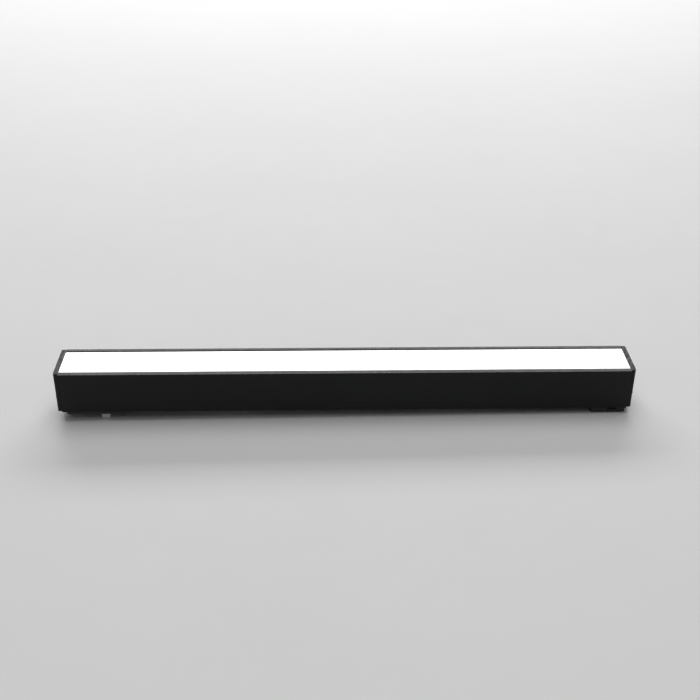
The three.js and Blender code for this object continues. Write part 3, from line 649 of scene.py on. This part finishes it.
def countersunk(length, shank):
    """A countersunk screw with its face at the origin and its shank up +Z."""
    head = 2.7
    profile = [(0, 0), (head - 0.06, 0), (head, 0.06), (head, 0.12), (shank, 1.4)]
    profile += threaded(shank, 1.7, length - 0.8)
    profile += [(shank - 0.45, length), (0, length)]
    return carved(lathe(profile, 40), *cross_cutter(0.55, 1.3, 1.35))


PAN_HEIGHT = 1.9


def pan_head(length):
    """A pan-head screw with the underside of its head at the origin and its shank down -Z."""
    dome = [(2.7, 0), (2.7, 0.75), (2.62, 1.05), (2.4, 1.35), (2.0, 1.62), (1.4, 1.8), (0.7, 1.88)]
    body = [(0, -length), (1.05, -length)]
    body += [(r, -z) for r, z in threaded(1.5, 0.2, length - 0.6)][::-1]
    profile = [*body, *dome, (0, PAN_HEIGHT)]
    recess = [moved(c, (0, 0, PAN_HEIGHT), turn_about("X", 180)) for c in cross_cutter(0.55, 1.1, 1.2)]
    return carved(lathe(profile, 40), *recess)


def place_screws():
    """Every screw stands where its CAD node is, each turned by its own angle."""
    cap = countersunk(10, 1.25)
    for end, side in (("left", -1), ("right", 1)):
        for name, row in (("front", -1), ("rear", 1)):
            node = f"cap_screw_{end}_{name}"
            low, high = span(node)
            turn = turn_about("Y", -90 * side) @ turn_about("Z", 20 * row + 13)
            spot = (high.x if side > 0 else low.x, (low.y + high.y) / 2, (low.z + high.z) / 2)
            mesh = moved(cap, spot, turn)
            piece(f"{node}_finished", mesh, LOOKS["black_screw"], "black_screw", [node], smooth=30)
    upright = (
        ("contact_head_screw_outer", "black_screw", 12),
        ("contact_head_screw_inner", "black_screw", 57),
        ("latch_head_screw_front", "black_screw", 31),
        ("latch_head_screw_rear", "black_screw", 74),
        ("magnet_screw_left", "zinc_steel", 8),
        ("magnet_screw_right", "zinc_steel", 40),
    )
    for node, slot, angle in upright:
        low, high = span(node)
        spot = ((low.x + high.x) / 2, (low.y + high.y) / 2, low.z)
        screw = moved(countersunk(high.z - low.z, 1.5), spot, turn_about("Z", angle))
        piece(f"{node}_finished", screw, LOOKS[slot], slot, [node], smooth=30)
    for i, angle in enumerate((22, 65, 41), 1):
        node = f"led_board_screw_{i}"
        low, high = span(node)
        seat = high.z - PAN_HEIGHT
        screw = moved(pan_head(seat - low.z), ((low.x + high.x) / 2, 0, seat), turn_about("Z", angle))
        piece(f"{node}_finished", screw, LOOKS["zinc_steel"], "zinc_steel", [node], smooth=30)


build_housing()
build_diffuser()
for end in ("left", "right"):
    refined(f"end_cap_{end}", "black_paint", 0.4, segments=4, material=CAST_COAT)
refined("back_plate", "black_paint", 0.2)
place_screws()

# ------------------------------------------------------------------ light engine

LED_HEIGHT = 0.75
BOARD_TOP = span("led_board")[1].z - LED_HEIGHT
LED_ROW = 5  # from the middle to each row of diodes
FOIL = 0.03  # the thickness of the copper tracks and pads


def led_places():
    """The front row's 14 diodes and the rear row's 13, half a pitch apart."""
    front = [((i - 6.5) * LED_PITCH, -LED_ROW) for i in range(14)]
    return front + [((i - 6) * LED_PITCH, LED_ROW) for i in range(13)]


def led_package():
    """A white package with a phosphor-filled well, standing on z 0 and centred on the origin."""
    rim, slope, well_depth = 0.28, 0.12, 0.1
    work = bmesh.new()
    work.from_mesh(brick((0, 0, 0.4), (3.5, 2.8, 0.7)))
    work.faces.ensure_lookup_table()
    top = max(work.faces, key=lambda f: f.calc_center_median().z)
    bmesh.ops.inset_individual(work, faces=[top], thickness=rim * MM)
    bmesh.ops.inset_individual(work, faces=[top], thickness=slope * MM, depth=-well_depth * MM)
    bmesh.ops.poke(work, faces=[top])
    for face in work.faces:
        face.material_index = 0
    wells = sorted(work.faces, key=lambda f: f.calc_center_median().xy.length)[:4]
    for face in [f for f in wells if f.normal.z > 0.9]:
        face.material_index = 1
    out = bpy.data.meshes.new("led")
    work.to_mesh(out)
    work.free()
    ends = [brick((side * 1.7, 0, 0.12), (0.45, 2.2, 0.24)) for side in (-1, 1)]
    return joined(out, *[(e, 2) for e in ends])


def build_led_board(screws):
    """The board with its notch for the wires, its screws' holes and the copper under its mask."""
    low, high = span("led_board")
    half_length, half_width = high.x, high.y
    notch_x, notch = 133.8, 3.8
    plan = [
        (-half_length, -half_width, 0.5),
        (half_length, -half_width, 0.5),
        (half_length, -notch, 0.3),
        (notch_x, -notch, 0.5),
        (notch_x, notch, 0.5),
        (half_length, notch, 0.3),
        (half_length, half_width, 0.5),
        (-half_length, half_width, 0.5),
    ]
    board = prism(fillet(plan, 4), low.z, BOARD_TOP, "Z")
    hole = lathe([(0, low.z - 1), (1.6, low.z - 1), (1.6, BOARD_TOP + 1), (0, BOARD_TOP + 1)])
    board = carved(board, *[moved(hole, (x, 0, 0)) for x in screws])
    mask = BOARD_TOP + 0.012
    tracks = []
    for side in (-1, 1):
        row = sorted(x for x, y in led_places() if y == side * LED_ROW)
        for a, b in zip(row, row[1:]):
            tracks.append(brick(((a + b) / 2, side * LED_ROW, mask), (b - a - 5, 1.4, FOIL)))
        tracks.append(brick((0, side * 7.2, mask), (272, 0.7, FOIL)))
    board = joined(board, *tracks)
    look = LOOKS["white_mask"]
    piece("led_circuit_board", board, look, "white_mask", ["led_board"], bevel=0.012, segments=1)


def build_leds(screws):
    """The diodes, their copper pads and the bare rings under the board's screws."""
    pad_size, pad_z = (0.9, 2.6, FOIL), BOARD_TOP + FOIL / 2
    pads = [brick((x + side * 2.4, y, pad_z), pad_size) for x, y in led_places() for side in (-1, 1)]
    inner, outer, top = 1.75, 2.95, BOARD_TOP + 0.04
    ring = lathe([(inner, BOARD_TOP), (outer, BOARD_TOP), (outer, top), (inner, top)])
    rings = [moved(ring, (x, 0, 0)) for x in screws]
    piece("led_board_pads", joined(*pads, *rings), COPPER, "brass")
    package = led_package()
    leds = joined(*[moved(package, (x, y, BOARD_TOP)) for x, y in led_places()])
    looks = [LOOKS["white_plastic"], PHOSPHOR, SOLDER]
    piece("led_packages", leds, looks, "white_plastic", bevel=0.05, segments=1)


def build_grommet():
    """A rubber ring round the wires, whose groove holds the web's edge."""
    low, high = span("web_grommet")
    under, over = WEB_BOTTOM - 0.1, WEB_TOP + 0.1
    bore, groove, flange = 1.75, 2.5, 3.4
    profile = [
        (bore, low.z + 0.3),
        (bore + 0.25, low.z),
        (flange - 0.25, low.z),
        (flange, low.z + 0.25),
        (flange, under - 0.1),
        (flange - 0.1, under),
        (groove, under),
        (groove, over),
        (flange - 0.1, over),
        (flange, over + 0.1),
        (flange, high.z - 0.25),
        (flange - 0.25, high.z),
        (bore + 0.25, high.z),
        (bore, high.z - 0.3),
    ]
    mesh = moved(lathe(profile), ((low.x + high.x) / 2, 0, 0))
    piece("grommet_finished", mesh, LOOKS["rubber"], "rubber", ["web_grommet"])


def build_light_engine():
    screws = (-100, 0, 100)
    build_led_board(screws)
    build_leds(screws)
    refined("thermal_pad", "grey_pad", 0.05)
    refined("led_terminal", "white_plastic", 0.15)
    for side in ("front", "rear"):
        refined(f"reflector_{side}", "reflector_white", 0.06)
    build_grommet()


build_light_engine()

# ------------------------------------------------------------------ driver

BOARD_Z = span("driver_board")[1].z


def gull_leg(width, reach):
    """One bent lead that leaves a package at y 0 and lands on the board at z 0, towards +Y."""
    height, sole, half_thick = 0.7, 0.1, 0.08
    points = [(0, height), (0.35 * reach, height), (0.55 * reach, sole), (reach, sole)]
    outer = [(y, z + half_thick) for y, z in points]
    inner = [(y, z - half_thick) for y, z in reversed(points)]
    return prism([*outer, *inner], -width / 2, width / 2)


JOINT = 0.9  # a solder joint's usual size


def solder_joint(x, y, length=JOINT, width=JOINT):
    """A low dome of solder on the driver board."""
    profile = [(0, 0), (0.5, 0), (0.46, 0.08), (0.3, 0.2), (0.12, 0.26), (0, 0.27)]
    dome = lathe(profile, 16)
    dome.transform(Matrix.Diagonal((length / JOINT, width / JOINT, 1, 1)))
    return moved(dome, (x, y, BOARD_Z))


def legs_along(node, places, width, reach):
    """Leads on both long sides of a package, at these distances from its middle."""
    low, high = span(node)
    middle = (low.x + high.x) / 2
    made = []
    for x in places:
        for side, y in ((1, high.y), (-1, low.y)):
            turn = turn_about("Z", 0 if side > 0 else 180)
            made.append(moved(gull_leg(width, reach), (middle + x, y - side * 0.05, BOARD_Z), turn))
            made.append(solder_joint(middle + x, y + side * reach, 0.7, 0.8))
    return made


def build_driver():
    refined("driver_tray", "tray_plastic", 0.2)
    start = span("driver_board")[0].x + 12
    length, width, trace_z, thick = 9.5, 0.5, BOARD_Z + 0.012, 0.025
    traces = []
    for i, y in enumerate((-6.5, 5.8, -2.2, 6.8, -7.2, 1.2, -5.4, 4.6, -1)):
        x = start + i * 12.2
        traces.append(brick((x, y, trace_z), (length, width, thick)))
        traces.append(brick((x + length / 2, y / 2, trace_z), (width, abs(y), thick)))
    refined("driver_board", "green_board", 0.01, extra=traces, segments=1)
    for node in ("driver_input_terminal", "driver_output_terminal"):
        refined(node, "white_plastic", 0.2)
        a, b = span(node)
        feet = [solder_joint((a.x + b.x) / 2 + dx, y) for dx in (-3.2, 3.2) for y in (-5.3, 5.3)]
        piece(f"{node}_solder", joined(*feet), SOLDER, "spring_steel")
    build_chip("driver_chip", (-1.905, -0.635, 0.635, 1.905))
    build_chip("driver_transistor", (-2.28, 2.28), 0.8, 1.2)
    build_chip("driver_diode", (0,), 3, 1)
    build_capacitor()
    build_inductor()
    build_ended("driver_fuse", "ceramic", 1.2)
    build_ended("driver_output_capacitor", "ceramic", 0.9)
    build_ended("driver_shunt", "chip_black", 0.8)
    build_passives()


def build_chip(node, places, width=0.4, reach=1.0):
    """A moulded package with drafted sides, a dimple at its first lead, and leads on both sides."""
    low, high = span(node)
    middle = (low + high) / 2
    z0, z1 = low.z + 0.05, high.z
    seam, draft = (z0 + z1) / 2, 0.18
    verts = []
    for z, inset in ((z0, draft), (seam - 0.05, 0), (seam + 0.05, 0), (z1, draft)):
        x, y = (high.x - low.x) / 2 - inset, (high.y - low.y) / 2 - inset
        verts += [(middle.x + a * x, middle.y + b * y, z) for a, b in CORNERS]
    faces = [(3, 2, 1, 0), (12, 13, 14, 15)]
    for ring in range(3):
        for i in range(4):
            a, b = 4 * ring + i, 4 * ring + (i + 1) % 4
            faces.append((a, b, b + 4, a + 4))
    dimple = lathe([(0, -0.06), (0.35, -0.06), (0.35, 1), (0, 1)], 24)
    body = carved(mesh_of(verts, faces), moved(dimple, (low.x + 0.9, low.y + 0.9, z1)))
    piece(f"{node}_package", body, LOOKS["chip_black"], "chip_black", [node], bevel=0.05)
    piece(f"{node}_leads", joined(*legs_along(node, places, width, reach)), SOLDER, "spring_steel")


def build_ended(node, slot, cap):
    """A two-terminal part with a metal end on each side."""
    low, high = span(node)
    low.z += 0.02
    body = block((low.x + cap, high.x - cap), (low.y + 0.05, high.y - 0.05), (low.z, high.z - 0.05))
    piece(f"{node}_body", body, LOOKS[slot], slot, [node], bevel=0.12)
    ends = [
        block((low.x, low.x + cap), (low.y, high.y), (low.z, high.z)),
        block((high.x - cap, high.x), (low.y, high.y), (low.z, high.z)),
    ]
    piece(f"{node}_ends", joined(*ends), SOLDER, "spring_steel", bevel=0.2)
    middle = (low.y + high.y) / 2
    spots = [solder_joint(x, middle, JOINT, high.y - low.y) for x in (low.x - 0.25, high.x + 0.25)]
    piece(f"{node}_solder", joined(*spots), SOLDER, "spring_steel")


def build_capacitor():
    """A lying electrolytic can, with its crimp, its scored vent and two bent leads."""
    low, high = span("driver_input_capacitor")
    middle, radius = (low + high) / 2, (high.z - low.z) / 2
    half = (high.x - low.x) / 2
    turn = turn_about("Y", 90)
    can = [
        (0, -half + 0.12),
        (radius - 0.75, -half + 0.12),
        (radius - 0.7, -half),
        (radius - 0.25, -half),
        (radius - 0.06, -half + 0.1),
        (radius, -half + 0.3),
        (radius, half - 2.2),
        (radius - 0.12, half - 2.0),
        (radius - 0.3, half - 1.8),
        (radius - 0.12, half - 1.6),
        (radius, half - 1.4),
        (radius, half - 0.3),
        (radius - 0.1, half - 0.05),
        (radius - 0.4, half),
        (radius - 0.6, half - 0.1),
        (0, half - 0.1),
    ]
    sleeve, look = moved(lathe(can), middle, turn), LOOKS["can_sleeve"]
    piece("input_capacitor_can", sleeve, look, "can_sleeve", ["driver_input_capacitor"])
    lid_radius, lid_low, lid_high = radius - 0.75, -half + 0.05, -half + 0.11
    lid = lathe([(0, lid_low), (lid_radius, lid_low), (lid_radius, lid_high), (0, lid_high)])
    score, groove = 2.6, 0.16
    cuts = [brick((0, 0, -half), size) for size in ((score, groove, groove), (groove, score, groove))]
    lid = carved(lid, *cuts)
    piece("input_capacitor_vent", moved(lid, middle, turn), CAN_METAL, "spring_steel")
    foot = high.x + 1.05
    leads = []
    for side in (-1, 1):
        y = middle.y + side
        route = [
            (high.x - 0.2, y, middle.z),
            (high.x + 0.5, y, middle.z),
            (high.x + 0.95, y, middle.z - 0.3),
            (foot, y, middle.z - 0.9),
            (foot, y, BOARD_Z - 0.2),
        ]
        leads.append(tube(through(route, 8), 0.25, 12))
        leads.append(solder_joint(foot, y, 1, 1))
    piece("input_capacitor_leads", joined(*leads), SOLDER, "spring_steel")


def build_inductor():
    """An eight-sided ferrite shell round a core, with three turns of wire in the gap between them."""
    low, high = span("driver_inductor")
    middle = (low + high) / 2
    centre = (middle.x, middle.y, 0)
    half = (high.x - low.x) / 2
    flat = half - 2.6
    z0, top = low.z, high.z
    quarter = [(-half, -flat), (-flat, -half), (flat, -half), (half, -flat)]
    plan = [(x, y, 0.4) for x, y in quarter + [(-x, -y) for x, y in quarter]]
    shell = moved(prism(fillet(plan, 4), z0, z0 + 3.8, "Z"), centre)
    inner, outer, floor_z = 3.75, 4.6, z0 + 2.6
    well = [(inner, floor_z), (outer, floor_z), (outer, top + 1), (inner, top + 1)]
    shell = carved(shell, moved(lathe(well), centre))
    core = [
        (0, z0 + 3),
        (3.6, z0 + 3),
        (3.6, top - 0.25),
        (3.35, top),
        (0.6, top),
        (0.5, top - 0.15),
        (0, top - 0.15),
    ]
    ferrite = joined(shell, moved(lathe(core), centre))
    piece("inductor_ferrite", ferrite, LOOKS["ferrite"], "ferrite", ["driver_inductor"], bevel=0.12)
    radius, steps, wire = 4.17, 48, 0.16
    angles = [2 * math.pi * i / steps for i in range(steps + 1)]
    winding = []
    for layer in range(3):
        z = z0 + 2.75 + 0.3 * layer
        turn = [(middle.x + radius * math.cos(a), middle.y + radius * math.sin(a), z) for a in angles]
        winding.append(tube(turn, wire, 8))
    piece("inductor_winding", joined(*winding), COPPER, "brass")
    ends = [brick((middle.x + s * (half - 0.1), middle.y, z0 + 0.35), (0.5, 3, 0.7)) for s in (-1, 1)]
    spots = [solder_joint(middle.x + s * (half + 0.35), middle.y, 1, 3) for s in (-1, 1)]
    piece("inductor_terminals", joined(*ends, *spots), SOLDER, "spring_steel", bevel=0.05, segments=1)


def build_passives():
    """Small resistors and capacitors on the driver board, each with its metal ends."""
    spots = [(-90, -5.5), (-84, -6.6), (-66, -6.2), (-60, -6.2), (-55, 5.8), (-47, 5.6), (-43, -6.4)]
    spots += [(-34, -6.4), (-30, 7), (-12, 6.8), (-13, -2), (2, -6), (2, 1), (2, 6.2)]
    middles, ends = [], []
    for i, (x, y) in enumerate(spots):
        tall = 0.55 if i % 2 else 0.8
        z = BOARD_Z + tall / 2 + 0.02
        middles.append((brick((x, y, z), (1.2, 1.2, tall)), i % 2))
        for side in (-1, 1):
            ends.append(brick((x + side * 0.8, y, z), (0.42, 1.26, tall + 0.04)))
            ends.append(solder_joint(x + side * 1.15, y, 0.5, 1.1))
    looks = [LOOKS["ceramic"], LOOKS["chip_black"]]
    piece("passive_bodies", joined(*middles), looks, "ceramic", bevel=0.05, segments=1)
    piece("passive_ends", joined(*ends), SOLDER, "spring_steel", bevel=0.05, segments=1)


build_driver()

# ------------------------------------------------------------------ wires


def build_wires():
    """Two wires from the contacts to the driver, and two from it to the diodes' board."""
    head_end = span("contact_head")[1].x + 3.6
    supply_in = span("driver_input_terminal")[0].x
    feed_out = span("driver_output_terminal")[1].x
    led_in = span("led_terminal")[1].x
    hole = (span("web_grommet")[0].x + span("web_grommet")[1].x) / 2
    seat, level, radius = BOARD_TOP + 1.9, 14.2, 0.65
    for sign, side, slot in (("positive", -1, "red_insulation"), ("negative", 1, "black_insulation")):
        supply = [
            (head_end, side * 8.3, 11.9),
            (head_end + 2.4, side * 7.9, 12.2),
            (head_end + 4.8, side * 5.6, 13.4),
            (head_end + 7, side * 3, 14.1),
            (supply_in - 0.8, side * 2.4, level),
            (supply_in + 3.6, side * 2.4, level),
        ]
        feed = [
            (feed_out - 3.6, side * 2.4, level),
            (feed_out + 2, side * 2.4, level),
            (26, side * 1.4, 13.6),
            (50, side * 0.9, 13.2),
            (80, side * 0.8, 13.5),
            (108, side * 0.8, 13.2),
            (126, side * 0.8, 13),
            (hole - 4, side * 0.8, 13.4),
            (hole - 0.9, side * 0.8, 15.2),
            (hole, side * 0.8, 17.8),
            (hole - 0.1, side * 0.8, 19.8),
            (hole - 1.3, side * 0.95, 21.6),
            (hole - 4, side * 1.15, 22.25),
            (led_in + 1.4, side * 1.2, seat),
            (led_in - 3.6, side * 1.2, seat),
        ]
        for name, route in (("supply", supply), ("led", feed)):
            node = f"wire_{name}_{sign}"
            mesh = tube(through(route, 12), radius)
            piece(f"{node}_insulated", mesh, LOOKS[slot], slot, [node])


build_wires()

# ------------------------------------------------------------------ contact head


SPRING_WIRE = 0.15  # its radius


def spring_coil(radius, length, turns):
    """A compression spring about Z with closed ends, centred on the origin."""
    points, steps = [], int(turns * 28)
    height, closed, closed_rise = length - 2 * SPRING_WIRE, 0.12, 0.9 * SPRING_WIRE
    for i in range(steps + 1):
        t = i / steps
        first = min(t, closed) / closed
        last = max(0, t - (1 - closed)) / closed
        free = min(1, max(0, (t - closed) / (1 - 2 * closed)))
        z = -height / 2 + closed_rise * (first + last) + (height - 2 * closed_rise) * free
        angle = 2 * math.pi * turns * t
        points.append((radius * math.cos(angle), radius * math.sin(angle), z))
    return tube(points, SPRING_WIRE, 10)


def build_contact_head():
    """The head, its cover, and each contact's pin, spring coil, terminal and solder spot."""
    refined("contact_head", "black_plastic", 0.22)
    refined("contact_head_cover", "black_plastic", 0.12)
    for side in ("front", "rear"):
        refined(f"contact_pin_{side}", "nickel", 0.2, material=SATIN_NICKEL, segments=3, smooth=30)
        node = f"contact_spring_{side}"
        low, high = span(node)
        middle, length = (low + high) / 2, high.z - low.z
        coil = moved(spring_coil(1.9, length, 5), middle)
        spring = piece(f"{node}_coil", coil, LOOKS["spring_steel"], "spring_steel", [node], smooth=60)
        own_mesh(spring)
        node = f"contact_terminal_{side}"
        low, high = span(node)
        refined(node, "brass", 0.06)
        spot = lathe([(0, 0), (0.75, 0), (0.7, 0.15), (0.45, 0.4), (0.2, 0.5), (0, 0.52)], 24)
        spot = moved(spot, (high.x - 1.2, (low.y + high.y) / 2, high.z))
        piece(f"{node}_solder", spot, SOLDER, "spring_steel")


build_contact_head()

# ------------------------------------------------------------------ latch head and magnets


def build_latch_head():
    """The head, its cover, and each latch tab with its spring coil."""
    refined("latch_head", "black_plastic", 0.22)
    refined("latch_head_cover", "black_plastic", 0.12)
    for side, sign in (("front", -1), ("rear", 1)):
        refined(f"latch_tab_{side}", "black_plastic", 0.12)
        node = f"latch_spring_{side}"
        low, high = span(node)
        middle, length = (low + high) / 2, high.y - low.y
        coil = moved(spring_coil(1.5, length, 4.5), middle, turn_about("X", 90))
        spring = piece(f"{node}_coil", coil, LOOKS["spring_steel"], "spring_steel", [node], smooth=60)
        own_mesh(spring)


build_latch_head()
for side in ("left", "right"):
    refined(f"magnet_{side}", "nickel", 0.18, segments=3)
    refined(f"magnet_cup_{side}", "zinc_steel", 0.15)

# ------------------------------------------------------------------ floor, light and camera


def build_stage():
    """A pale floor that meets the pins' tips and the latch head's outer edge."""
    pin_edge = span("contact_pin_front")[1].x - 0.45
    latch_low, latch_high = span("latch_head")
    slope = latch_low.z / (latch_high.x - pin_edge)
    size = 25000
    verts = [(x, y, slope * (x - pin_edge)) for x in (-size, size) for y in (-size, size)]
    mesh = mesh_of(verts, [(0, 2, 3, 1)])
    mesh.materials.append(pale_floor())
    floor = bpy.data.objects.new("floor", mesh)
    bpy.context.scene.collection.objects.link(floor)


def soft_light(name, place, width, height, power):
    """A rectangular panel, in metres and watts, that faces the origin."""
    data = bpy.data.lights.new(name, "AREA")
    data.shape = "RECTANGLE"
    data.size, data.size_y = width, height
    data.energy = power
    lamp = bpy.data.objects.new(name, data)
    lamp.location = place
    lamp.rotation_euler = (-Vector(place)).to_track_quat("-Z", "Y").to_euler()
    bpy.context.scene.collection.objects.link(lamp)


def overhead_light(power, spread, lean):
    """A wide soft light from above, and from a little behind. Its spread and lean are in degrees."""
    data = bpy.data.lights.new("overhead", "SUN")
    data.energy = power
    data.angle = math.radians(spread)
    lamp = bpy.data.objects.new("overhead", data)
    lamp.rotation_euler = (math.radians(-lean), 0, 0)
    bpy.context.scene.collection.objects.link(lamp)


def studio_walls(horizon, above):
    """A world that fades from its strength at the horizon to its strength higher up."""
    world = bpy.data.worlds.new("studio")
    world.use_nodes = True
    tree = world.node_tree
    place = tree.nodes.new("ShaderNodeTexCoord").outputs["Generated"]
    split = tree.nodes.new("ShaderNodeSeparateXYZ")
    fade = tree.nodes.new("ShaderNodeMapRange")
    for name, value in (("From Min", 0.0), ("From Max", 0.35), ("To Min", horizon), ("To Max", above)):
        fade.inputs[name].default_value = value
    tree.links.new(place, split.inputs[0])
    tree.links.new(split.outputs["Z"], fade.inputs["Value"])
    tree.links.new(fade.outputs["Result"], tree.nodes["Background"].inputs["Strength"])
    tree.nodes["Background"].inputs["Color"].default_value = (0.95, 0.97, 1.0, 1)
    bpy.context.scene.world = world


def build_camera():
    """The photograph's view. Its angles are in radians and its place is in metres."""
    pitch, roll, yaw = 0.53159, 0.0081, -0.0292
    place = (-0.01244, -0.49924, 0.32836)
    heading = Matrix.Rotation(yaw, 3, "Z")
    ahead = heading @ Vector((0, math.cos(pitch), -math.sin(pitch)))
    up = heading @ Vector((0, math.sin(pitch), math.cos(pitch)))
    right = heading @ Vector((1, 0, 0))
    across = right * math.cos(roll) + up * math.sin(roll)
    above = up * math.cos(roll) - right * math.sin(roll)
    data = bpy.data.cameras.new("camera")
    data.sensor_width = 36
    data.lens = 57.26
    data.clip_start, data.clip_end = 0.01, 30
    camera = bpy.data.objects.new("camera", data)
    basis = Matrix((across, above, -ahead)).transposed().to_4x4()
    camera.matrix_world = Matrix.Translation(place) @ basis
    bpy.context.scene.collection.objects.link(camera)
    bpy.context.scene.camera = camera


build_stage()
overhead_light(1.35, 56, 9)
soft_light("back", (0.0, 1.4, 0.84), 1.8, 0.45, 16)
soft_light("front", (0.0, -0.8, 1.2), 1.4, 0.4, 1.5)
studio_walls(0.42, 0.11)
build_camera()
bpy.context.scene.view_settings.view_transform = "Standard"
